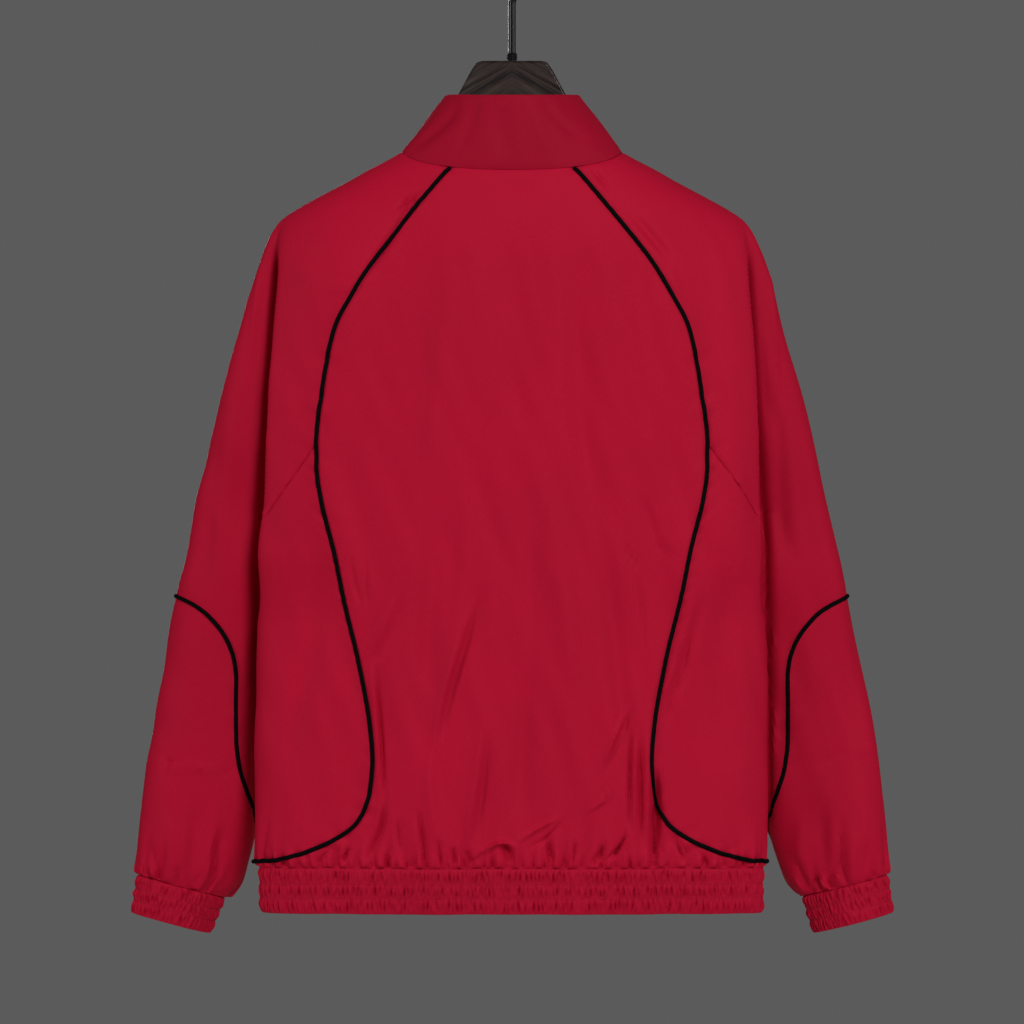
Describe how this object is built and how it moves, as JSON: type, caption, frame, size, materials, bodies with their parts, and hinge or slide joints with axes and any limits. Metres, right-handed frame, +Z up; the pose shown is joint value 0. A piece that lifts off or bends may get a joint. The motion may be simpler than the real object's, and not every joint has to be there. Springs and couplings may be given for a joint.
{
  "type": "windbreaker on a hanger",
  "caption": "Woven windbreaker with a stand collar, raglan sleeves, black piping, a full front zip and gathered elastic cuffs and hem, hanging on a dark wooden hanger with a metal hook.",
  "frame": {"origin": "inner top of the hook, where a rail bears", "axes": "+Z up; the garment's front faces -Y and its back +Y; its left sleeve is on +X"},
  "size_m": [0.7126, 0.1502, 0.9327],
  "materials": {
    "woven_cloth": "plain woven, slightly lustrous crimson",
    "elastic_cloth": "the same crimson cloth gathered over elastic, stitched in channels",
    "piping": "matt black corded piping",
    "zip_tape": "black coil zip on woven tape",
    "zip_metal": "dark satin metal",
    "hook_metal": "black gloss",
    "wood": "dark brown gloss lacquer over straight grain"
  },
  "bodies": {
    "garment": {"back_panel": "woven_cloth", "collar": "woven_cloth", "cuff_left": "elastic_cloth", "cuff_right": "elastic_cloth", "forearm_left": "woven_cloth", "forearm_right": "woven_cloth", "front_left": "woven_cloth", "front_right": "woven_cloth", "hanger": "wood", "hanger_ferrule": "hook_metal", "hanger_hook": "hook_metal", "hem_band": "elastic_cloth", "piping_body_left": "piping", "piping_body_right": "piping", "piping_sleeve_left": "piping", "piping_sleeve_right": "piping", "side_panel_left": "woven_cloth", "side_panel_right": "woven_cloth", "sleeve_left": "woven_cloth", "sleeve_right": "woven_cloth", "zip_left": "zip_tape", "zip_right": "zip_tape", "zip_slider": "zip_metal"},
    "pull_tab": {"zip_pull": "zip_metal"}
  },
  "joints": [
    {"name": "pull_tab_hinge", "type": "hinge", "parent": "garment", "child": "pull_tab", "pos_m": [0, -0.06389, -0.20352], "axis": [-1, 0, 0], "range_deg": [0, 150]}
  ]
}
